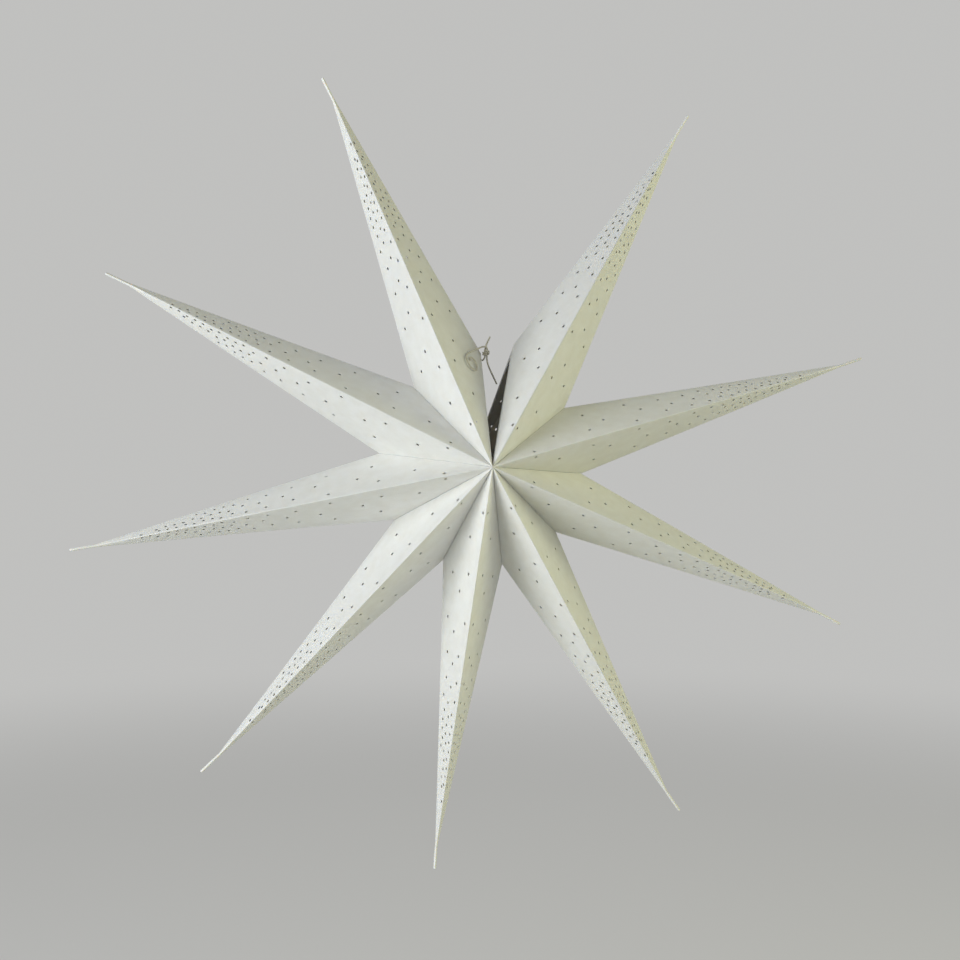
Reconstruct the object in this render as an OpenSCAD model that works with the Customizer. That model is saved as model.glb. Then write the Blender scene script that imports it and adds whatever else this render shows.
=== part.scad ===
// Paper advent star: nine folded and punched points, glued side by side around a hollow hub.
// Units are millimetres. The origin is the notch where the star hangs, at the top of the open
// slit, with the hub straight below it. The front looks along -Y, +X is to the right, +Z is up.

/* [Star] */
// Distance from the hub's centre to the end of a point
star_r = 500; // [420:5:620]
// Distance from the middle plane to a pole, where the ridges meet
half_depth = 120; // [90:5:150]
// Distance from the hub's centre to a notch between two points
notch_r = 125; // [105:1:150]

/* [Fan] */
// Angle of the open slit between the two end points
slit_gap = 15.4; // [12:0.2:18]
// Distance from the hub's centre to the free notch left of the slit, where the star hangs
hang_notch_r = 136; // [125:1:150]
// Distance from the hub's centre to the free notch right of the slit, which is pulled out more
free_notch_r = 153; // [140:1:165]

/* [Card] */
// Thickness of the card
card_t = 0.5; // [0.3:0.05:1]
// Width of the glue flanges folded in along the valleys
flange_w = 10; // [9:0.5:14]
// Gap between two glued flanges, filled by the glue
glue_gap = 0.1; // [0.05:0.05:0.2]
// Length of the pinched end of a point
pinch_l = 30; // [15:1:40]
// Width across the pinched end
pinch_w = 3.4; // [2.5:0.1:5]
// Angle by which a pinched end may lean to one side
pinch_lean = 5; // [0:1:8]

/* [Punching] */
// Diameter of a punched hole
hole_d = 3.6; // [2:0.1:4]
// Distance between holes where they stand closest, near the ends
hole_pitch = 11; // [9:0.5:16]
// How fast the distance grows towards the hub, in mm for each mm along the ridge
pitch_growth = 0.26; // [0.1:0.02:0.4]
// Sway of a row to either side, as a share of the width of the face
row_sway = 0.05; // [0:0.01:0.08]
// Least card left between a hole and a fold
hole_margin = 1.7; // [1:0.1:4]

/* [Tie string] */
// Diameter of the string
string_d = 2.2; // [1.6:0.1:2.4]
// Diameter of the hole for the string in each end point
tie_hole_d = 5; // [4:0.5:6]
// Distance from the notch down to that hole
tie_hole_drop = 9; // [8:0.5:10]

/* [Hidden] */
point_count = 9;

card_white = [0.93, 0.93, 0.90];
string_white = [0.90, 0.89, 0.85];
x_plane = [[1, 0, 0], 0];
y_plane = [[0, 1, 0], 0];

// How wide each point stands open, clockwise from the slit, as shares of the fan,
// and the angle by which its ridge stands clockwise of its middle
fan_shares = [40.6, 39.1, 36.7, 36.1, 33.8, 36, 38.7, 42.6, 40.9];
ridge_shifts = [-5, -0.6, 0, 0.6, 1.8, 2.4, 1.4, -0.8, -1.6];
angles = (360 - slit_gap) / total(fan_shares) * fan_shares;

// The rows of holes on a face: where each starts and stops as a share of the ridge,
// and where it runs between the ridge and the outer fold as a share of the width there
row_starts = [0.114, 0.188, 0.300];
row_stops = [0.866, 0.822, 0.728];
row_places = [0.20, 0.46, 0.72];
sway_step = 137.5;
dense_from = 0.73;

// Each pinched end leans its own way, as a share of pinch_lean
leans = [0.2, -0.6, 0.7, -1, -0.6, 0.8, 0.5, -0.4, -0.9];

// The virtual tip where the four faces of a point would meet, inside the pinched end,
// set so that an even point is as wide as the pinched end where that starts
pinch_z = star_r - pinch_l;
even_notch = notch((360 - slit_gap) / point_count / 2, notch_r);
tip_z = (pinch_z * even_notch.x - pinch_w / 2 * even_notch.z) / (even_notch.x - pinch_w / 2);
pinch_depth = 2 * half_depth * (1 - pinch_z / tip_z);

// Routes of the string's three strands, from the hole or the knot outwards
string_route = [[-5.5, 0, -9], [-3, 0, -9], [-1, 0, -9], [1, -0.3, -8.8], [2.7, -1, -7.9],
    [3.9, -1.9, -6.3], [4.5, -2.6, -4.4], [4.6, -3, -2.5], [4.6, -3, 0], [4.6, -3, 2.5],
    [4.9, -3, 5], [5.6, -3, 8], [6.7, -3, 11], [8, -3, 14], [9.5, -3, 17], [11, -3, 20]];
tail_route = [[6.9, -3, 0], [6.9, -3, -2.5], [6.9, -3, -5], [7, -3.2, -7.5], [7.3, -3.5, -10],
    [7.8, -3.9, -12.5], [8.6, -4.4, -15.2], [9.6, -5, -18], [10.7, -5.7, -20.7],
    [11.8, -6.3, -23.3], [13, -7, -26], [14.1, -7.6, -28.5], [15.2, -8.2, -31],
    [16.3, -8.8, -33.5], [17.3, -9.4, -35.8], [18.2, -9.9, -38]];
curl_route = [[6.9, -3, 0], [7.1, -3.4, 3.4], [6.8, -5.5, 6], [4.5, -7.7, 7.4], [1.6, -9.4, 7.2],
    [-1.3, -11.2, 6.4], [-4, -12.9, 5], [-6, -15.6, 4.1], [-7.9, -18.4, 3.3],
    [-9.8, -21.2, 2.5], [-11.6, -24.1, 1.7], [-13.2, -27, 0.9], [-14.9, -29.9, 0],
    [-16.6, -32.8, -0.9], [-18.4, -35.7, -1.9], [-20, -38.4, -3.2], [-21.4, -41.3, -4.7],
    [-22.2, -44.1, -6.6], [-22.4, -46.5, -9.1], [-21.8, -48.2, -12], [-20.5, -48.8, -15.2],
    [-18.7, -48.5, -18.1], [-16.5, -47.3, -20.5], [-14.2, -45.3, -22.2], [-12.1, -42.7, -22.9],
    [-10.3, -39.7, -22.7], [-9, -36.7, -21.6], [-8.4, -34.1, -19.4], [-8.6, -32.1, -16.6],
    [-9.6, -31, -13.5], [-11.4, -31.2, -10.5], [-13.6, -32.7, -8.3], [-15.7, -35.3, -7.3],
    [-17.2, -38.4, -7.6], [-17.8, -41.3, -9.3], [-17.8, -43.8, -11.7]];
tube_sides = 8;

// Knot round the two strands that stand side by side, and the stop knot behind the card
strand_fit = 0.05;
knot_at = (string_route[8] + tail_route[0]) / 2;
wrap_r = norm(tail_route[0] - knot_at) + string_d + strand_fit;
stop_minor = 1.4;
stop_gap = 0.3;
stop_x = -(glue_gap / 2 + card_t + stop_gap + stop_minor);

function total(list, i = 0) = i < len(list) ? list[i] + total(list, i + 1) : 0;
function unit(v) = v / norm(v);

// A plane is [normal, distance]; meet() is the point where three planes cross
function plane_through(p, q, r) = let (n = unit(cross(q - p, r - p))) [n, n * p];
function inward(plane, by) = [plane[0], plane[1] - by];
function meet(a, b, c) =
    (a[1] * cross(b[0], c[0]) + b[1] * cross(c[0], a[0]) + c[1] * cross(a[0], b[0]))
    / (a[0] * cross(b[0], c[0]));

// Turn of a point's ridge from straight up, clockwise from the front
function ridge_turn(k) = slit_gap + total([for (j = [0:1:k - 2]) angles[j]])
    + angles[k - 1] / 2 + ridge_shifts[k - 1];

// Angles from a point's ridge to its sides, and the notches there, left first
function halves(k) = angles[k - 1] / 2 * [1, 1] + ridge_shifts[k - 1] * [1, -1];
function notch_radii(k) = [k == 1 ? free_notch_r : notch_r, k == point_count ? hang_notch_r : notch_r];

// Corners of one half face of a point whose ridge stands up along +Z
function pole() = [0, -half_depth, 0];
function tip() = [0, 0, tip_z];
function notch(half, radius) = radius * [sin(half), 0, cos(half)];
function face_plane(half, radius) = plane_through(pole(), notch(half, radius), tip());
function side_plane(half) = [[cos(half), 0, -sin(half)], -glue_gap / 2];

// The same corners with the walls moved inward: on the ridge, at the notch, at the tip
function corners(half, radius, inset) = let (
        face = inward(face_plane(half, radius), inset),
        side = inward(side_plane(half), inset)
    )
    [meet(face, side, x_plane), meet(face, side, y_plane), meet(face, x_plane, y_plane)];

// Distances of the holes of one row from the pole, closer together towards the tip
function row_holes(s, stop, ridge) = s > stop * ridge ? []
    : concat([s], row_holes(s + max(hole_pitch, pitch_growth * (dense_from * ridge - s)), stop, ridge));

// The solid inside four faces and two flanges, with every wall moved inward
module wedge(k, inset) {
    left = corners(halves(k)[0], notch_radii(k)[0], inset);
    right = corners(halves(k)[1], notch_radii(k)[1], inset);
    front = left[0].z > right[0].z ? left[0] : right[0];
    end = left[2].z < right[2].z ? left[2] : right[2];
    polyhedron(
        points = [front, [0, -front.y, front.z], right[1], [-left[1].x, 0, left[1].z], end],
        faces = [[0, 4, 2], [0, 3, 4], [1, 2, 4], [1, 4, 3], [0, 2, 1], [3, 0, 1]]
    );
}

// The opening between the glue flanges on one side of a point, through to the hub
module flange_window(half, radius, side) {
    valley_angle = atan(half_depth / radius);
    reach = radius - flange_w / sin(valley_angle);
    depth = reach * tan(valley_angle);
    past_axis = 0.2;
    cut = 2 * (card_t + glue_gap);
    rotate([0, side * half - 90, 0])
        linear_extrude(height = 2 * cut, center = true)
            polygon([[reach, 0], [-past_axis * reach, -(1 + past_axis) * depth],
                [-past_axis * reach, (1 + past_axis) * depth]]);
}

// Cutters for the holes of one face, standing on it at right angles
module face_punches(half, radius) {
    along = unit(tip() - pole());
    into = -face_plane(half, radius)[0];
    across = cross(into, along);
    ridge = norm(tip() - pole());
    knee = [(notch(half, radius) - pole()) * along, (notch(half, radius) - pole()) * across];
    multmatrix([
        [along.x, across.x, into.x, pole().x],
        [along.y, across.y, into.y, pole().y],
        [along.z, across.z, into.z, pole().z],
        [0, 0, 0, 1]
    ])
        for (row = [0:len(row_starts) - 1]) {
            holes = row_holes(row_starts[row] * ridge, row_stops[row], ridge);
            for (i = [0:len(holes) - 1]) {
                s = holes[i];
                wide = knee[1] * min(s / knee[0], (ridge - s) / (ridge - knee[0]));
                place = wide * (row_places[row] + row_sway * sin(sway_step * (i + row)));
                if (min(place, wide - place) > hole_d / 2 + hole_margin)
                    translate([s, place, -card_t])
                        cylinder(d = hole_d, h = 3 * card_t, $fn = 24);
            }
        }
}

// The hole for the string through one side flange of an end point, just below the notch
module tie_hole(half, radius, side) {
    rotate([0, side * half, 0])
        translate([0, 0, radius - tie_hole_drop])
            rotate([0, 90, 0])
                cylinder(d = tie_hole_d, h = 4 * (card_t + glue_gap), center = true, $fn = 32);
}

// The pinched end, where the folded layers lie pressed together
module pinched_end(k) {
    translate([0, 0, pinch_z])
        rotate([0, pinch_lean * leans[k - 1], 0])
            translate([0, 0, -pinch_w / 2])
                linear_extrude(height = pinch_l + pinch_w / 2)
                    polygon([[pinch_w / 2, 0], [0, pinch_depth / 2], [-pinch_w / 2, 0],
                        [0, -pinch_depth / 2]]);
}

// One folded point, numbered clockwise from the slit
module point(k) {
    color(card_white)
        translate([0, 0, -hang_notch_r])
            rotate([0, ridge_turn(k), 0]) {
                difference() {
                    wedge(k, 0);
                    wedge(k, card_t);
                    for (side = [0, 1]) {
                        half = halves(k)[side];
                        radius = notch_radii(k)[side];
                        flange_window(half, radius, 2 * side - 1);
                        for (back = [0, 1])
                            mirror([1 - side, 0, 0])
                                mirror([0, back, 0])
                                    face_punches(half, radius);
                    }
                    if (k == 1)
                        tie_hole(halves(k)[0], free_notch_r, -1);
                    if (k == point_count)
                        tie_hole(halves(k)[1], hang_notch_r, 1);
                }
                pinched_end(k);
            }
}

// A round tube of flat sides swept along a route that never runs straight along Y
module strand(route) {
    last = len(route) - 1;
    rings = [for (i = [0:last])
        let (
            way = unit(route[min(i + 1, last)] - route[max(i - 1, 0)]),
            side = unit(cross(way, [0, 1, 0])),
            up = cross(side, way)
        )
        for (j = [0:tube_sides - 1])
            let (turn = 360 * j / tube_sides)
            route[i] + string_d / 2 * (cos(turn) * side + sin(turn) * up)];
    walls = [for (i = [0:last - 1], j = [0:tube_sides - 1])
        let (a = i * tube_sides + j, b = i * tube_sides + (j + 1) % tube_sides)
        [a, b, b + tube_sides, a + tube_sides]];
    ends = [
        [for (j = [tube_sides - 1:-1:0]) j],
        [for (j = [0:tube_sides - 1]) last * tube_sides + j]
    ];
    polyhedron(points = rings, faces = concat(walls, ends));
}

module tie_string() {
    color(string_white)
        strand(string_route);
}

module tie_tail() {
    color(string_white)
        strand(tail_route);
}

module tie_curl() {
    color(string_white)
        strand(curl_route);
}

// Two turns of string drawn tight round both strands
module tie_knot() {
    color(string_white)
        translate(knot_at)
            for (z = [-0.48, 0.48] * string_d)
                translate([0, 0, z])
                    rotate_extrude($fn = 32)
                        translate([wrap_r, 0])
                            circle(d = string_d, $fn = 16);
}

// The knot on the string's end behind the flange, too thick to pass the hole
module stop_knot() {
    color(string_white)
        translate([stop_x, 0, -tie_hole_drop])
            rotate([0, 90, 0])
                rotate_extrude($fn = 32)
                    translate([string_d / 2 + strand_fit + stop_minor, 0])
                        circle(r = stop_minor, $fn = 16);
}

for (k = [1:point_count])
    point(k);
tie_string();
tie_tail();
tie_curl();
tie_knot();
stop_knot();
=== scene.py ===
import math
import bpy
import bmesh
from mathutils import Matrix, Vector, noise


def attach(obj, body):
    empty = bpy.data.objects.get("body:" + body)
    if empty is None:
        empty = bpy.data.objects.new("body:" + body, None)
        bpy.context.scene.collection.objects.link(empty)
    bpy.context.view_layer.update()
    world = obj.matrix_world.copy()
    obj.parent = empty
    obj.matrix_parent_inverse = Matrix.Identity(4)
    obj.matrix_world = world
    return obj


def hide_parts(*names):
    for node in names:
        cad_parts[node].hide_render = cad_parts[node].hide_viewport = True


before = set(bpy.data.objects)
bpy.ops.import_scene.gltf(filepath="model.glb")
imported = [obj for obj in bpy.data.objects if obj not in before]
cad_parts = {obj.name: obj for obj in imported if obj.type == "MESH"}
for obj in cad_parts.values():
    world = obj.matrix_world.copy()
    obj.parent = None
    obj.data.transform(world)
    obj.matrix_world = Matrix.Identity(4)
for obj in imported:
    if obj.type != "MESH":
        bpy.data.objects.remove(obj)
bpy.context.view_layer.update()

# Metres throughout. The origin is the notch where the star hangs, its front looks along -Y.

cameraView = {
    "azimuth": -6.4,            # degrees, below zero to the left of the star's front
    "elevation": 1.85,
    "distance": 1.63,
    "lens": 50.0,
    "aim": (-0.0011, 0.0, -0.1546),
}


def makeCamera(view):
    azimuth, elevation = math.radians(view["azimuth"]), math.radians(view["elevation"])
    back = Vector((math.sin(azimuth) * math.cos(elevation),
                   -math.cos(azimuth) * math.cos(elevation), math.sin(elevation)))
    data = bpy.data.cameras.new("camera")
    data.lens = view["lens"]
    camera = bpy.data.objects.new("camera", data)
    camera.location = Vector(view["aim"]) + back * view["distance"]
    camera.rotation_mode = "QUATERNION"
    camera.rotation_quaternion = (-back).to_track_quat("-Z", "Y")
    bpy.context.scene.collection.objects.link(camera)
    bpy.context.scene.camera = camera


makeCamera(cameraView)
print("camera placed")


class Wire:
    # a node's output that can stand in sums, so that the maths of a material reads as maths
    def __init__(self, graph, socket):
        self.graph = graph
        self.socket = socket

    def maths(self, operation, first, second):
        return self.graph.wire("ShaderNodeMath", {"operation": operation}, {0: first, 1: second})

    def __add__(self, other):
        return self.maths("ADD", self, other)

    def __mul__(self, other):
        return self.maths("MULTIPLY", self, other)

    def __truediv__(self, other):
        return self.maths("DIVIDE", self, other)

    def __gt__(self, other):
        return self.maths("GREATER_THAN", self, other)

    __radd__ = __add__


class Graph:
    # a node tree that nodes are added to by type, settings and the values of their sockets
    def __init__(self, tree):
        self.tree = tree

    def add(self, kind, settings={}, values={}):
        node = self.tree.nodes.new(kind)
        for name, value in settings.items():
            if name == "stops":
                ramp = node.color_ramp
                for i, (place, colour) in enumerate(value):
                    stop = ramp.elements[i] if i < 2 else ramp.elements.new(place)
                    stop.position = place
                    stop.color = (*colour, 1.0)
            else:
                setattr(node, name, value)
        for key, value in values.items():
            if isinstance(value, Wire):
                self.tree.links.new(value.socket, node.inputs[key])
            else:
                node.inputs[key].default_value = value
        return node

    def wire(self, kind, settings={}, values={}, output=0):
        return Wire(self, self.add(kind, settings, values).outputs[output])

    def noise(self, place, scale, detail=2.0, rough=0.5):
        return self.wire("ShaderNodeTexNoise", {}, {"Vector": place, "Scale": scale,
                                                    "Detail": detail, "Roughness": rough})

    def blend(self, share, first, second):
        return self.wire("ShaderNodeMix", {"data_type": "RGBA"}, {0: share, 6: first, 7: second}, 2)

    def seen(self):
        # 1 where the camera looks, also through glass or in a mirror, and 0 where light falls
        paths = self.add("ShaderNodeLightPath").outputs
        return (Wire(self, paths["Is Camera Ray"]) + Wire(self, paths["Is Glossy Ray"])
                + Wire(self, paths["Is Transmission Ray"]))


def newMaterial(name):
    material = bpy.data.materials.new(name)
    material.use_nodes = True
    material.node_tree.nodes.clear()
    return material, Graph(material.node_tree)


# String: three plies of cotton, laid right-handed

stringLook = {
    "diameter": 0.0022,
    "plies": 3,
    "lay": 0.0085,              # length in which a ply goes once round
    "sides": 24,
    "step": 0.0005,             # distance between two rings of the mesh
    "groove": 0.66,             # radius between two plies, as a share of the full radius
    "taper": 0.0008,            # length over which a cut end is drawn in
    "cutEnd": 0.72,             # radius of a cut end, as a share of the full radius
    "marks": 24,                # places that describe a strand's way
    # both tones are darker than the white cotton: painted shade, as the strings look in the shadow of the
    # points
    "creamWithPaintedShade": (0.56, 0.52, 0.41),
    "white": (0.80, 0.78, 0.70),
    "fibreScale": 2600.0,
    "bumpHeight": 0.00012,
}

# routes in millimetres, from the hole or the knot outwards
risingRoute = [(-5.5, 0, -9), (-3, 0, -9), (-1, 0, -9), (1, -0.3, -8.8), (2.7, -1, -7.9),
               (3.9, -1.9, -6.3), (4.5, -2.6, -4.4), (4.6, -3, -2.5), (4.6, -3, 0), (4.6, -3, 2.5),
               (4.9, -3, 5), (5.6, -3, 8), (6.7, -3, 11), (8, -3, 14), (9.5, -3, 17), (11, -3, 20)]
tailRoute = [(6.9, -3, 0), (6.9, -3, -2.5), (6.9, -3, -5), (7, -3.2, -7.5), (7.3, -3.5, -10),
             (7.8, -3.9, -12.5), (8.6, -4.4, -15.2), (9.6, -5, -18), (10.7, -5.7, -20.7),
             (11.8, -6.3, -23.3), (13, -7, -26), (14.1, -7.6, -28.5), (15.2, -8.2, -31),
             (16.3, -8.8, -33.5), (17.3, -9.4, -35.8), (18.2, -9.9, -38)]
curlRoute = [(6.9, -3, 0), (7.1, -3.4, 3.4), (6.8, -5.5, 6), (4.5, -7.7, 7.4), (1.6, -9.4, 7.2),
             (-1.3, -11.2, 6.4), (-4, -12.9, 5), (-6, -15.6, 4.1), (-7.9, -18.4, 3.3),
             (-9.8, -21.2, 2.5), (-11.6, -24.1, 1.7), (-13.2, -27, 0.9), (-14.9, -29.9, 0),
             (-16.6, -32.8, -0.9), (-18.4, -35.7, -1.9), (-20, -38.4, -3.2), (-21.4, -41.3, -4.7),
             (-22.2, -44.1, -6.6), (-22.4, -46.5, -9.1), (-21.8, -48.2, -12),
             (-20.5, -48.8, -15.2), (-18.7, -48.5, -18.1), (-16.5, -47.3, -20.5),
             (-14.2, -45.3, -22.2), (-12.1, -42.7, -22.9), (-10.3, -39.7, -22.7), (-9, -36.7, -21.6),
             (-8.4, -34.1, -19.4), (-8.6, -32.1, -16.6), (-9.6, -31, -13.5), (-11.4, -31.2, -10.5),
             (-13.6, -32.7, -8.3), (-15.7, -35.3, -7.3), (-17.2, -38.4, -7.6), (-17.8, -41.3, -9.3),
             (-17.8, -43.8, -11.7)]


def stringMaterial(look):
    material, graph = newMaterial("cottonString")
    place = graph.wire("ShaderNodeTexCoord", output="Object")
    fibres = graph.noise(place, look["fibreScale"], 3.0)
    patches = graph.noise(place, look["fibreScale"] / 12)
    # the darkened cream and white stand in for shade: painted shade over the whole string
    colour = graph.blend(fibres * 0.6 + patches * 0.4, (*look["creamWithPaintedShade"], 1), (*look["white"], 1))
    bump = graph.wire("ShaderNodeBump", {}, {"Strength": 0.6, "Distance": look["bumpHeight"],
                                             "Height": fibres})
    shader = graph.wire("ShaderNodeBsdfPrincipled", {}, {
        "Base Color": colour, "Roughness": 0.92, "Specular IOR Level": 0.2, "Normal": bump,
        "Sheen Weight": 0.25})
    graph.add("ShaderNodeOutputMaterial", {}, {"Surface": shader})
    return material


def smoothPath(points, step):
    # a curve through all the points, sampled about every step
    ends = [2 * points[0] - points[1], *points, 2 * points[-1] - points[-2]]
    path = []
    for before, start, end, after in zip(ends, ends[1:], ends[2:], ends[3:]):
        count = max(2, round((end - start).length / step))
        for i in range(count):
            t = i / count
            path.append(0.5 * (2 * start + (end - before) * t
                               + (2 * before - 5 * start + 4 * end - after) * t ** 2
                               + (3 * start - before - 3 * end + after) * t ** 3))
    return path + [points[-1]]


def plyRadius(angle, look):
    # radius of the laid string in one direction, from the outline of its round plies
    share = (angle * look["plies"] / (2 * math.pi)) % 1.0
    turned = (share - 0.5) * 2 * math.pi / look["plies"]
    offset = 1 / (1 + math.sin(math.pi / look["plies"]))
    ply = 1 - offset
    reach = offset * math.cos(turned) + math.sqrt(max(ply ** 2 - (offset * math.sin(turned)) ** 2, 0))
    return look["diameter"] / 2 * max(reach, look["groove"])


def pathLength(path):
    return sum((b - a).length for a, b in zip(path, path[1:]))


def layString(name, path, look, material):
    # a laid string along the path, with its cut ends drawn in and closed
    mesh = bmesh.new()
    side = Vector((0, 1, 0)) if abs((path[1] - path[0]).normalized().y) < 0.9 else Vector((1, 0, 0))
    walked, total = 0.0, pathLength(path)
    rings = []
    for i, point in enumerate(path):
        way = (path[min(i + 1, len(path) - 1)] - path[max(i - 1, 0)]).normalized()
        side = (side - way * side.dot(way)).normalized()
        up = way.cross(side)
        if i:
            walked += (point - path[i - 1]).length
        twist = 2 * math.pi * walked / look["lay"]
        end = min(walked, total - walked) / look["taper"]
        drawn = look["cutEnd"] + (1 - look["cutEnd"]) * min(end, 1.0)
        ring = []
        for j in range(look["sides"]):
            angle = 2 * math.pi * j / look["sides"]
            radius = plyRadius(angle - twist, look) * drawn
            ring.append(mesh.verts.new(point + radius * (math.cos(angle) * side + math.sin(angle) * up)))
        rings.append(ring)
    for low, high in zip(rings, rings[1:]):
        for j in range(look["sides"]):
            k = (j + 1) % look["sides"]
            mesh.faces.new((low[j], low[k], high[k], high[j]))
    for ring, centre in ((rings[0][::-1], path[0]), (rings[-1], path[-1])):
        middle = mesh.verts.new(centre)
        for a, b in zip(ring, ring[1:] + ring[:1]):
            mesh.faces.new((a, b, middle))
    for face in mesh.faces:
        face.smooth = True
    data = bpy.data.meshes.new(name)
    mesh.to_mesh(data)
    mesh.free()
    data.materials.append(material)
    piece = bpy.data.objects.new(name, data)
    bpy.context.scene.collection.objects.link(piece)
    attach(piece, "root")
    return piece


cotton = stringMaterial(stringLook)

knotLook = {
    "stopAt": (-0.0035, 0.0, -0.009),       # behind the left flange, round the hole
    "stopSize": 0.00125,
    "stopSteps": 95,
    "wrapAt": (0.00575, -0.003, 0.0),       # round the two strands that stand side by side
    "wrapRadius": 0.00345,
    "wrapTurns": 2.35,
    "wrapHeight": 0.0052,
    "wrapSteps": 139,
}


def stopKnotPath(look):
    # an overhand knot drawn up small, its flat side against the card
    centre = Vector(look["stopAt"])
    path = []
    for i in range(look["stopSteps"] + 1):
        t = 2 * math.pi * (0.02 + 0.96 * i / look["stopSteps"])
        flat = Vector((-0.8 * math.sin(3 * t), math.sin(t) + 1.7 * math.sin(2 * t),
                       math.cos(t) - 1.7 * math.cos(2 * t)))
        path.append(centre + flat * look["stopSize"])
    return path


def wrapKnotPath(look):
    # turns drawn tight round both strands, with the two ends tucked in between them
    centre = Vector(look["wrapAt"])
    path = []
    for i in range(look["wrapSteps"] + 1):
        t = i / look["wrapSteps"]
        angle = 2 * math.pi * look["wrapTurns"] * t + 0.6
        tuck = min(1.0, 12 * min(t, 1 - t))
        radius = look["wrapRadius"] * (0.45 + 0.55 * tuck)
        height = look["wrapHeight"] * (t - 0.5) + 0.0006 * math.sin(angle)
        path.append(centre + Vector((radius * math.cos(angle), -radius * math.sin(angle), height)))
    return path


stopKnot = layString("stopKnot", stopKnotPath(knotLook), stringLook, cotton)
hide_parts("stop_knot")
wrapKnot = layString("wrapKnot", wrapKnotPath(knotLook), stringLook, cotton)
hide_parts("tie_knot")

for name, route, node, knots in (("risingEnd", risingRoute, "tie_string", [stopKnot, wrapKnot]),
                                 ("looseTail", tailRoute, "tie_tail", []),
                                 ("looseCurl", curlRoute, "tie_curl", [])):
    path = smoothPath([Vector(point) / 1000 for point in route], stringLook["step"])
    strand = layString(name, path, stringLook, cotton)
    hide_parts(node)
    every = len(path) // stringLook["marks"]
    marks = path[:-every:every] + path[-1:]
    round(pathLength(path), 4)
print("string laid")


# Card: the sizes of the folded points, as in the solids that they replace

star = {
    "radius": 0.500,
    "halfDepth": 0.120,
    "notchRadius": 0.125,
    "hangNotchRadius": 0.136,   # of the free notch left of the slit
    "freeNotchRadius": 0.153,   # of the free notch right of the slit
    "slitGap": 15.4,            # degrees
    "shares": (40.6, 39.1, 36.7, 36.1, 33.8, 36.0, 38.7, 42.6, 40.9),   # of each point in the fan
    "shifts": (-5.0, -0.6, 0.0, 0.6, 1.8, 2.4, 1.4, -0.8, -1.6),        # degrees, of each ridge
    "thickness": 0.0005,
    "flangeWidth": 0.010,
    "glueGap": 0.0001,
    "pinchLength": 0.030,
    "pinchWidth": 0.0034,
    "pinchLean": 5.0,
    "leans": (0.2, -0.6, 0.7, -1.0, -0.6, 0.8, 0.5, -0.4, -0.9),
}

# How the card has settled: rounded folds, bowed panels and points that bend a little
settling = {
    "ridgeDrop": 0.0011,        # how far the rounded ridge falls short of the sharp one
    "pinchDrop": 0.0004,
    "foldRadius": 0.0012,
    "valleyRadius": 0.0003,
    "bow": 0.0011,
    "bendFrom": 0.150,
    "bends": ((0.6, -1.6), (-1.4, 1.0), (1.8, 0.8), (-1.2, -1.5), (0.7, 1.8),
              (1.5, -1.2), (-1.7, 0.9), (1.1, 1.4), (-0.8, -1.0)),      # mm to the side and back
    "lowRows": 9,
    "highRows": 26,
    "columns": 7,
    "pinchRows": ((0.004, 1.0), (0.010, 1.0), (0.018, 1.0), (0.026, 1.0), (0.0295, 1.0),
                  (0.030, 0.85), (0.030, 0.0)),   # height above the pinch, share of the width
    "neck": 0.006,              # length over which a point narrows to its pinched end
    "leanOver": 0.004,
    "hollowCap": 0.004,
    "hardFrom": 32.0,           # degrees at which a fold shows as an edge
}

punching = {
    "diameter": 0.0036,
    "pitch": 0.011,
    "growth": 0.26,
    "sway": 0.05,
    "swayStep": 137.5,
    "margin": 0.0017,
    "denseFrom": 0.73,
    "starts": (0.114, 0.188, 0.300),
    "stops": (0.866, 0.822, 0.728),
    "places": (0.20, 0.46, 0.72),
    "sides": 16,
    "flare": 0.00022,
}

acrossX = (Vector((1, 0, 0)), 0.0)
acrossY = (Vector((0, 1, 0)), 0.0)

fanAngle = math.radians(360 - star["slitGap"])
openAngles = [fanAngle * share / sum(star["shares"]) for share in star["shares"]]


def halvesOf(k):
    # angles from a point's ridge to its left and its right side
    shift = math.radians(star["shifts"][k])
    return openAngles[k] / 2 + shift, openAngles[k] / 2 - shift


def radiiOf(k):
    # distances of its left and its right notch from the hub's centre
    last = len(openAngles) - 1
    return (star["freeNotchRadius"] if k == 0 else star["notchRadius"],
            star["hangNotchRadius"] if k == last else star["notchRadius"])


def notchAt(half, radius):
    return radius * Vector((math.sin(half), 0, math.cos(half)))


pinchFrom = star["radius"] - star["pinchLength"]
evenNotch = notchAt(fanAngle / len(openAngles) / 2, star["notchRadius"])
tipAt = ((pinchFrom * evenNotch.x - star["pinchWidth"] / 2 * evenNotch.z)
         / (evenNotch.x - star["pinchWidth"] / 2))
pinchDepth = 2 * star["halfDepth"] * (1 - pinchFrom / tipAt)
pole = Vector((0, -star["halfDepth"], 0))
tip = Vector((0, 0, tipAt))
hubAt = Matrix.Translation((0, 0, -star["hangNotchRadius"]))


def meet(a, b, c):
    # the point where three planes cross; a plane is its normal and its distance
    return (a[1] * b[0].cross(c[0]) + b[1] * c[0].cross(a[0])
            + c[1] * a[0].cross(b[0])) / a[0].dot(b[0].cross(c[0]))


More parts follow.
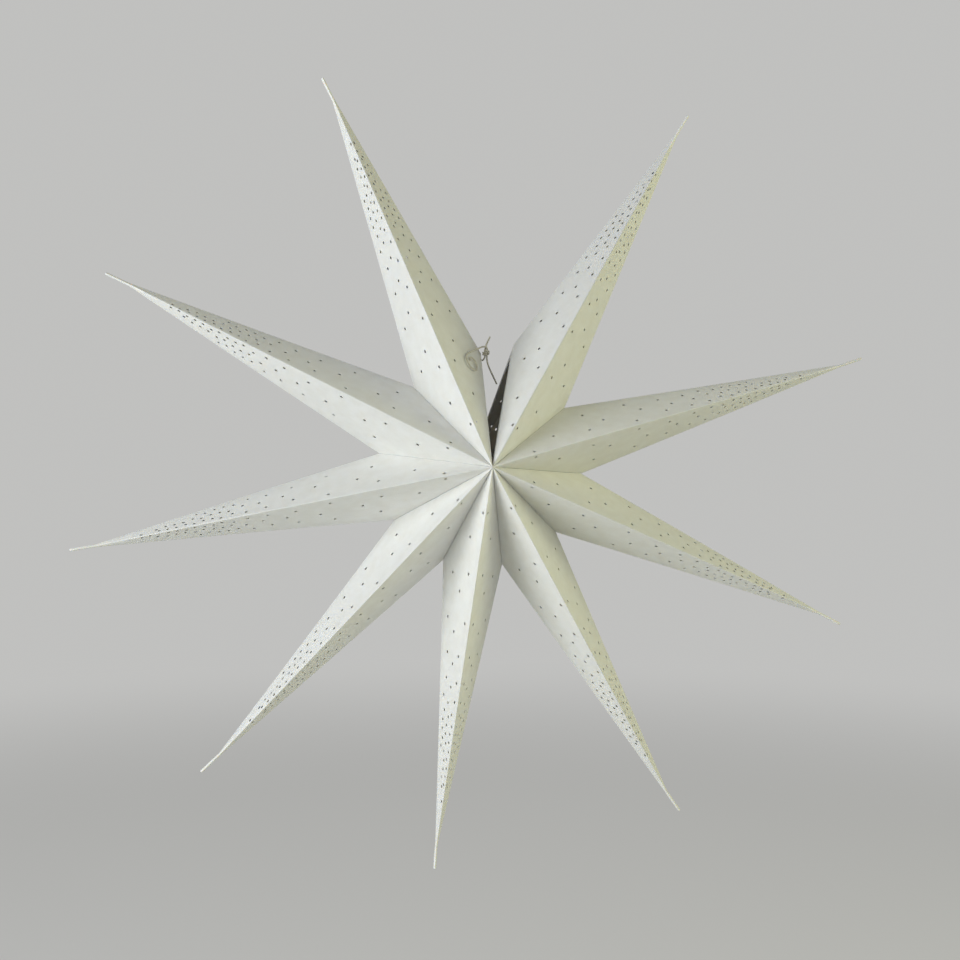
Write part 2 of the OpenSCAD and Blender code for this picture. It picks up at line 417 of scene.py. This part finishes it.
def makeSkins(k, inset):
    # a point's front left and front right quarters, with all of their faces moved inward;
    # both are built as if on the right, and they share the ridge
    skins = []
    for half, radius in zip(halvesOf(k), radiiOf(k)):
        notch = notchAt(half, radius)
        normal = (notch - pole).cross(tip - pole).normalized()
        face = (normal, normal.dot(pole) - inset)
        side = (Vector((math.cos(half), 0, -math.sin(half))), -star["glueGap"] / 2 - inset)
        front = meet(face, side, acrossX)
        lean = front.z * math.cos(half)
        valley = math.atan(star["halfDepth"] / radius)
        reach = radius - star["flangeWidth"] / math.sin(valley)
        skins.append({
            "notch": notch, "normal": normal, "side": side[0], "front": front,
            "corner": meet(face, side, acrossY), "end": meet(face, acrossX, acrossY),
            "windowDepth": (reach - lean) * math.tan(valley),
            "windowReach": notchAt(half, reach - lean),
        })
    front = max((skin["front"] for skin in skins), key=lambda place: place.z)
    end = min((skin["end"] for skin in skins), key=lambda place: place.z)
    kneeAt = (skins[0]["corner"].z + skins[1]["corner"].z) / 2
    depth = (skins[0]["windowDepth"] + skins[1]["windowDepth"]) / 2
    for skin in skins:
        skin["front"], skin["end"] = front, end
        skin["knee"] = front.lerp(end, (kneeAt - front.z) / (end.z - front.z))
        skin["windowAxis"] = Vector((0, -depth, front.z))
        skin["windowKnee"] = skin["windowReach"] + Vector((0, 0, front.z))
    return skins


def rowEnds(skin, q):
    # where row q starts on the ridge and stops at the far fold: 0 pole, 1 notch, 2 tip
    if q <= 1:
        return skin["front"].lerp(skin["knee"], q), skin["front"].lerp(skin["corner"], q)
    return skin["knee"].lerp(skin["end"], q - 1), skin["corner"].lerp(skin["end"], q - 1)


def rowOf(skin, spot):
    # the row of a place on the face, and its share of the way along it
    front, knee, end, corner = (skin[name] for name in ("front", "knee", "end", "corner"))
    outwards = spot.x / corner.x
    level = spot.z - outwards * (corner.z - knee.z)
    if level <= knee.z:
        q = (level - front.z) / (knee.z - front.z)
        return q, outwards / q
    left = (end.z - level) / (end.z - knee.z)
    return 2 - left, outwards / left


def foldDistances(skin, spot):
    # distances in the face from the ridge and from the nearest far fold
    def distance(start, stop):
        inwards = skin["normal"].cross(stop - start).normalized()
        return max((spot - start).dot(inwards), 0)
    front, corner, end = skin["front"], skin["corner"], skin["end"]
    return distance(end, front), min(distance(front, corner), distance(corner, end))


def bowAt(q, share, seed):
    # how far the panel stands out there, nothing along its folds
    size = math.sqrt(max(min(q, 2 - q), 0))
    wave = noise.noise(Vector((q * 2.3 + seed * 5.1, share * 1.7, seed * 1.3)))
    return settling["bow"] * size * math.sin(math.pi * share) * (0.25 + 1.5 * wave)


def roundedRow(ridge, far, last, drop, bow, columns):
    # one row of the outer skin, from the middle of the rounded ridge to its last place
    reach = (far - ridge).length
    if reach == 0:
        return [ridge] * (columns + 5)
    way = (far - ridge) / reach
    start = 2 * drop / way.y
    row = []
    for j in range(3):
        t = j / 3
        row.append((1 - t) ** 2 * (ridge + Vector((0, drop, 0))) + t * (1 - t) * (2 * ridge + way * start)
                   + t ** 2 * (ridge + way * start))
    soft = min(settling["foldRadius"] * way.x / way.y, 0.2 * reach)
    for j in range(columns + 1):
        a = start + (reach - soft - start) * j / columns
        row.append(ridge + way * a + bow(a / reach))
    return row + [last]


def pointRows(outers, inners, right, seed):
    # rows of one quarter, both skins; below the notch they run over the flange as one
    outer, inner = outers[right], inners[right]
    lows = [i / settling["lowRows"] for i in range(settling["lowRows"] + 1)]
    stop = 1 + (pinchFrom - outer["knee"].z) / (outer["end"].z - outer["knee"].z)
    highs = [1 + (stop - 1) * i / settling["highRows"] for i in range(settling["highRows"] + 1)]
    columns = settling["columns"]
    fold = (outer["normal"] + outer["side"]).normalized() * settling["valleyRadius"]

    def outerRow(q):
        ridge, far = rowEnds(outer, q)
        if q < 1:
            last = far - fold * min(1, 8 * q)
        elif q == 1:
            last = far - Vector((fold.x, 0, fold.z))
        else:
            last = far - Vector((0.09 * settling["foldRadius"], 0, 0))
        narrow = min((b - a).length for a, b in (rowEnds(skin, q) for skin in outers))
        return roundedRow(ridge, far, last, min(settling["ridgeDrop"], 0.11 * narrow),
                          lambda share: outer["normal"] * bowAt(q, share, seed), columns)

    def innerRow(q):
        ridge, far = rowEnds(inner, q)
        return [ridge.lerp(far, j / columns) + inner["normal"] * bowAt(q, j / columns, seed)
                for j in range(columns, -1, -1)]

    def flangeRow(skin, q):
        # from the valley to the edge of the opening, in the side plane
        start = skin["front"].lerp(skin["corner"], q)
        edge = skin["windowAxis"].lerp(skin["windowKnee"], q)
        return [start.lerp(edge, share) for share in (0.05, 0.5, 1.0)]

    lowRows = []
    for q in lows:
        lowRows.append(outerRow(q) + flangeRow(outer, q) + flangeRow(inner, q)[::-1] + innerRow(q))

    highRows = [outerRow(q) for q in highs]
    wide = rowEnds(outer, stop)[1].x
    for rise, full in settling["pinchRows"]:
        drawn = min(rise / settling["neck"], 1.0)
        x = (wide + (star["pinchWidth"] / 2 - wide) * drawn) * full
        ridge = Vector((0, -pinchDepth / 2 * full, pinchFrom + rise))
        far = Vector((x, 0, ridge.z))
        if full == 0:
            highRows.append([ridge] * len(highRows[0]))
        else:
            highRows.append(roundedRow(ridge, far, far, settling["pinchDrop"],
                                       lambda share: Vector(), columns))

    innerHighs = [innerRow(q) for q in highs[:-1]]
    cap = Vector((0, 0, rowEnds(inner, highs[-2])[0].z + settling["hollowCap"]))
    innerHighs.append([cap] * len(innerHighs[0]))
    return lowRows, highRows, innerHighs


def settle(place, bend, lean):
    # the point's own bend, and the lean of its pinched end
    far = max(place.z - settling["bendFrom"], 0) / (tipAt - settling["bendFrom"])
    moved = place.copy()
    if place.z > pinchFrom:
        turn = lean * min((place.z - pinchFrom) / settling["leanOver"], 1.0)
        rise = place.z - pinchFrom
        moved.x += rise * math.sin(turn)
        moved.z += rise * (math.cos(turn) - 1)
    moved.x += bend[0] * far ** 2
    moved.y += bend[1] * far ** 2
    return moved


def holesOf(skin, seed):
    # the three rows of holes of one face, each with the way it faces
    along = (tip - pole).normalized()
    across = (-skin["normal"]).cross(along)
    ridge = (tip - pole).length
    kneeS, kneeA = (skin["notch"] - pole).dot(along), (skin["notch"] - pole).dot(across)
    holes = []
    for row, (start, stop, place) in enumerate(zip(punching["starts"], punching["stops"],
                                                   punching["places"])):
        s, i = start * ridge, 0
        while s <= stop * ridge:
            wide = kneeA * min(s / kneeS, (ridge - s) / (ridge - kneeS))
            sway = punching["sway"] * math.sin(math.radians(punching["swayStep"] * (i + row)))
            a = wide * (place + sway)
            if min(a, wide - a) > punching["diameter"] / 2 + punching["margin"]:
                spot = pole + along * s + across * a
                q, share = rowOf(skin, spot)
                holes.append((spot + skin["normal"] * bowAt(q, share, seed), skin["normal"]))
            s += max(punching["pitch"], punching["growth"] * (punching["denseFrom"] * ridge - s))
            i += 1
    return holes


def punchTree():
    # cuts a flared hole at every vertex of the marks, along the way it faces
    tree = bpy.data.node_groups.new("punchCard", "GeometryNodeTree")
    for name, kind in (("Card", "NodeSocketGeometry"), ("Marks", "NodeSocketObject"),
                       ("Diameter", "NodeSocketFloat"), ("Flare", "NodeSocketFloat"),
                       ("Depth", "NodeSocketFloat"), ("Sides", "NodeSocketInt"),
                       ("Crease", "NodeSocketFloat"), ("Finish", "NodeSocketMaterial")):
        tree.interface.new_socket(name, in_out="INPUT", socket_type=kind)
    tree.interface.new_socket("Card", in_out="OUTPUT", socket_type="NodeSocketGeometry")
    graph = Graph(tree)
    given = graph.add("NodeGroupInput")
    size = {name: Wire(graph, given.outputs[name]) for name in
            ("Card", "Marks", "Diameter", "Flare", "Depth", "Sides", "Crease", "Finish")}

    punch = graph.wire("GeometryNodeMeshCylinder", {}, {
        "Vertices": size["Sides"], "Side Segments": 5, "Radius": size["Diameter"] / 2,
        "Depth": size["Depth"]}, "Mesh")
    position = graph.wire("GeometryNodeInputPosition")
    height = graph.wire("ShaderNodeSeparateXYZ", {}, {0: position}, "Z")
    outwards = graph.wire("ShaderNodeVectorMath", {"operation": "MULTIPLY"},
                          {0: position, 1: (1.0, 1.0, 0.0)})
    flared = graph.wire("ShaderNodeVectorMath", {"operation": "SCALE"}, {
        0: outwards, "Scale": (height > 0.0) * size["Flare"] / size["Diameter"] * 2})
    punch = graph.wire("GeometryNodeSetPosition", {}, {"Geometry": punch, "Offset": flared})

    marks = graph.wire("GeometryNodeObjectInfo", {}, {"Object": size["Marks"]}, "Geometry")
    facing = graph.wire("GeometryNodeInputNamedAttribute", {"data_type": "FLOAT_VECTOR"},
                        {"Name": "facing"})
    turned = graph.wire("FunctionNodeAlignRotationToVector", {"axis": "Z"}, {"Vector": facing})
    punches = graph.wire("GeometryNodeInstanceOnPoints", {}, {
        "Points": marks, "Instance": punch, "Rotation": turned})
    punches = graph.wire("GeometryNodeRealizeInstances", {}, {"Geometry": punches})
    holed = graph.wire("GeometryNodeMeshBoolean", {"operation": "DIFFERENCE", "solver": "MANIFOLD"},
                       {"Mesh 1": size["Card"], "Mesh 2": punches}, "Mesh")

    angle = graph.wire("GeometryNodeInputMeshEdgeAngle", output="Unsigned Angle")
    smooth = graph.wire("GeometryNodeSetShadeSmooth", {"domain": "FACE"},
                        {"Geometry": holed, "Shade Smooth": True})
    smooth = graph.wire("GeometryNodeSetShadeSmooth", {"domain": "EDGE"},
                        {"Geometry": smooth, "Shade Smooth": size["Crease"] > angle})
    whole = graph.wire("GeometryNodeRealizeInstances", {}, {"Geometry": smooth})
    done = graph.wire("GeometryNodeSetMaterial", {}, {"Geometry": whole, "Material": size["Finish"]})
    graph.add("NodeGroupOutput", {}, {"Card": done})
    return tree


cardLook = {
    "white": (0.86, 0.86, 0.83),
    "warm": (0.80, 0.79, 0.745),
    # lighter along every fold: partly the whitened fibres of a crease, partly a painted highlight of the
    # light that a rounded fold catches
    "creaseAndHighlight": (0.90, 0.90, 0.875),
    "creaseAndHighlightWidth": 0.0022,
    "uvScale": 0.1,             # metres in one unit of the map
    "glowThrough": 0.6,         # light that the thin card lets through
    "scatter": 0.0012,
    "fibreScale": 900.0,
    "mottleScale": 60.0,
    "cockleScale": 22.0,
    "bumpHeight": 0.00006,
}


def cardMaterial(look):
    material, graph = newMaterial("whiteCard")
    coordinates = graph.add("ShaderNodeTexCoord")
    place = Wire(graph, coordinates.outputs["Object"])
    folds = graph.add("ShaderNodeSeparateXYZ", {}, {0: Wire(graph, coordinates.outputs["UV"])})
    nearest = graph.wire("ShaderNodeMath", {"operation": "MINIMUM"}, {
        0: Wire(graph, folds.outputs["X"]), 1: Wire(graph, folds.outputs["Y"])})
    fibres = graph.noise(place, look["fibreScale"], 4.0, 0.6)
    mottle = graph.noise(place, look["mottleScale"], 3.0, 0.55)
    cockle = graph.noise(place, look["cockleScale"])
    paper = graph.wire("ShaderNodeValToRGB", {"stops": [(0.30, look["warm"]), (0.62, look["white"])]},
                       {0: mottle * 0.65 + fibres * 0.35}, "Color")
    # painted highlight: within a few millimetres of every fold the paper turns lighter, partly as creased
    # fibres whiten and partly where light would catch the rounded fold
    creaseAndHighlight = graph.wire("ShaderNodeMapRange", {"interpolation_type": "SMOOTHSTEP"}, {
        "Value": nearest, "From Min": look["creaseAndHighlightWidth"] / look["uvScale"] * 0.3,
        "From Max": look["creaseAndHighlightWidth"] / look["uvScale"], "To Min": 1.0, "To Max": 0.0}, "Result")
    colour = graph.blend(creaseAndHighlight * (0.35 + fibres * 0.5), paper, (*look["creaseAndHighlight"], 1))
    bump = graph.wire("ShaderNodeBump", {}, {
        "Strength": 0.5, "Distance": look["bumpHeight"], "Height": fibres + mottle * 0.8 + cockle * 6})
    shader = graph.wire("ShaderNodeBsdfPrincipled", {}, {
        "Base Color": colour, "Roughness": 0.80 + fibres * 0.12, "Specular IOR Level": 0.25,
        "Subsurface Weight": look["glowThrough"], "Subsurface Radius": (1.0, 0.9, 0.75),
        "Subsurface Scale": look["scatter"], "Normal": bump})
    graph.add("ShaderNodeOutputMaterial", {}, {"Surface": shader})
    return material


def cardMesh(k):
    # the four quarters of one point, closed, with the distances to its folds as its map
    mesh = bmesh.new()
    chart = mesh.loops.layers.uv.new("folds")
    bend = [amount / 1000 for amount in settling["bends"][k]]
    lean = math.radians(star["pinchLean"] * star["leans"][k])
    outers, inners = makeSkins(k, 0), makeSkins(k, star["thickness"])

    def addRows(rows, skin, sx, sy):
        for low, high in zip(rows, rows[1:]):
            for j in range(len(low) - 1):
                places = [low[j], low[j + 1], high[j + 1], high[j]]
                if sx * sy > 0:
                    places.reverse()
                verts = [mesh.verts.new(settle(Vector((p.x * sx, p.y * sy, p.z)), bend, lean))
                         for p in places]
                face = mesh.faces.new(verts)
                for loop, p in zip(face.loops, places):
                    loop[chart].uv = Vector(foldDistances(skin, p)) / cardLook["uvScale"]

    marks = []
    for quarter, (sx, sy) in enumerate(((1, 1), (-1, 1), (-1, -1), (1, -1))):
        seed, right = 4 * k + quarter, (sx + 1) // 2
        for rows in pointRows(outers, inners, right, seed):
            addRows(rows, outers[right], sx, sy)
        for spot, facing in holesOf(outers[right], seed):
            marks.append((settle(Vector((spot.x * sx, spot.y * sy, spot.z)), bend, lean),
                          Vector((facing.x * sx, facing.y * sy, facing.z))))
    bmesh.ops.remove_doubles(mesh, verts=mesh.verts[:], dist=2e-6)
    bmesh.ops.dissolve_degenerate(mesh, edges=mesh.edges[:], dist=1e-6)
    return mesh, marks


def makePoint(k, tree, material):
    mesh, marks = cardMesh(k)
    turn = math.radians(star["slitGap"]) + sum(openAngles[:k]) + halvesOf(k)[0]
    placing = hubAt @ Matrix.Rotation(turn, 4, "Y")
    mesh.transform(placing)
    openEdges = sum(1 for edge in mesh.edges if len(edge.link_faces) != 2)
    name = f"card{k + 1}"
    data = bpy.data.meshes.new(name)
    mesh.to_mesh(data)
    mesh.free()
    piece = bpy.data.objects.new(name, data)
    bpy.context.scene.collection.objects.link(piece)

    markData = bpy.data.meshes.new("marks")
    markData.from_pydata([placing @ spot for spot, facing in marks], [], [])
    facings = markData.attributes.new("facing", "FLOAT_VECTOR", "POINT")
    for entry, (spot, facing) in zip(facings.data, marks):
        entry.vector = placing.to_3x3() @ facing
    markPiece = bpy.data.objects.new("marks", markData)
    bpy.context.scene.collection.objects.link(markPiece)

    punched = piece.modifiers.new("punching", "NODES")
    punched.node_group = tree
    values = {"Marks": markPiece, "Diameter": punching["diameter"], "Flare": punching["flare"],
              "Depth": 4 * star["thickness"], "Sides": punching["sides"],
              "Crease": math.radians(settling["hardFrom"]), "Finish": material}
    for socket in tree.interface.items_tree:
        if socket.in_out == "INPUT" and socket.name in values:
            punched[socket.identifier] = values[socket.name]
    depsgraph = bpy.context.evaluated_depsgraph_get()
    finished = bpy.data.meshes.new_from_object(piece.evaluated_get(depsgraph), depsgraph=depsgraph)
    piece.modifiers.clear()
    piece.data = finished
    finished.name = name
    bpy.data.objects.remove(markPiece)
    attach(piece, "root")
    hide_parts(f"point_{k + 1}")
    finished.calc_loop_triangles()
    print(name, len(marks), "holes,", len(finished.loop_triangles), "triangles, open edges", openEdges)


cardFinish = cardMaterial(cardLook)
punchCard = punchTree()
for k in range(len(openAngles)):
    makePoint(k, punchCard, cardFinish)
print("points folded and punched")


# Studio: a pale floor that fades into the same pale background, and soft light

studio = {
    "floorLevel": -0.98,
    "floorRadius": 14.0,
    "fadeFrom": 1.6,
    "fadeTo": 3.6,
    "nearGlow": 0.62,           # share of the background's own level in the floor underneath
    "pale": (0.80, 0.80, 0.79),
    "grey": (0.53, 0.53, 0.52),
    "worldLight": 0.19,
    "lamps": (
        # name, place, width, watts, colour
        ("window", (-1.6, -1.15, 0.1), 1.4, 30.0, (0.97, 1.0, 1.0)),
        ("bounce", (1.7, -0.80, 0.30), 1.5, 15.0, (1.0, 1.0, 0.60)),
    ),
}


def makeFloor(look):
    material, graph = newMaterial("paleFloor")
    place = graph.wire("ShaderNodeTexCoord", output="Object")
    distance = graph.wire("ShaderNodeVectorMath", {"operation": "LENGTH"}, {0: place}, "Value")
    far = graph.wire("ShaderNodeMapRange", {"interpolation_type": "SMOOTHSTEP"}, {
        "Value": distance, "From Min": look["fadeFrom"], "From Max": look["fadeTo"],
        "To Min": look["nearGlow"]}, "Result")
    matt = graph.wire("ShaderNodeBsdfDiffuse", {}, {"Color": (*look["pale"], 1)})
    glow = graph.wire("ShaderNodeEmission", {}, {"Color": (*look["grey"], 1)})
    graph.add("ShaderNodeOutputMaterial", {}, {
        "Surface": graph.wire("ShaderNodeMixShader", {}, {0: far * graph.seen(), 1: matt, 2: glow})})
    mesh = bmesh.new()
    bmesh.ops.create_circle(mesh, cap_ends=True, segments=96, radius=look["floorRadius"])
    data = bpy.data.meshes.new("floor")
    mesh.to_mesh(data)
    mesh.free()
    data.materials.append(material)
    floor = bpy.data.objects.new("floor", data)
    floor.location.z = look["floorLevel"]
    bpy.context.scene.collection.objects.link(floor)


def makeLight(look):
    world = bpy.data.worlds.new("studio")
    world.use_nodes = True
    world.node_tree.nodes.clear()
    graph = Graph(world.node_tree)
    ambient = graph.wire("ShaderNodeBackground", {}, {"Color": (1, 1, 1, 1),
                                                      "Strength": look["worldLight"]})
    behind = graph.wire("ShaderNodeBackground", {}, {"Color": (*look["grey"], 1)})
    graph.add("ShaderNodeOutputWorld", {}, {
        "Surface": graph.wire("ShaderNodeMixShader", {}, {0: graph.seen(), 1: ambient, 2: behind})})
    bpy.context.scene.world = world
    middle = hubAt.to_translation()
    for name, place, width, watts, colour in look["lamps"]:
        data = bpy.data.lights.new(name, "AREA")
        data.size = width
        data.energy = watts
        data.color = colour
        lamp = bpy.data.objects.new(name, data)
        lamp.location = place
        lamp.rotation_mode = "QUATERNION"
        lamp.rotation_quaternion = (middle - Vector(place)).to_track_quat("-Z", "Y")
        bpy.context.scene.collection.objects.link(lamp)


makeFloor(studio)
makeLight(studio)
bpy.context.scene.view_settings.view_transform = "Standard"
print("studio lit")
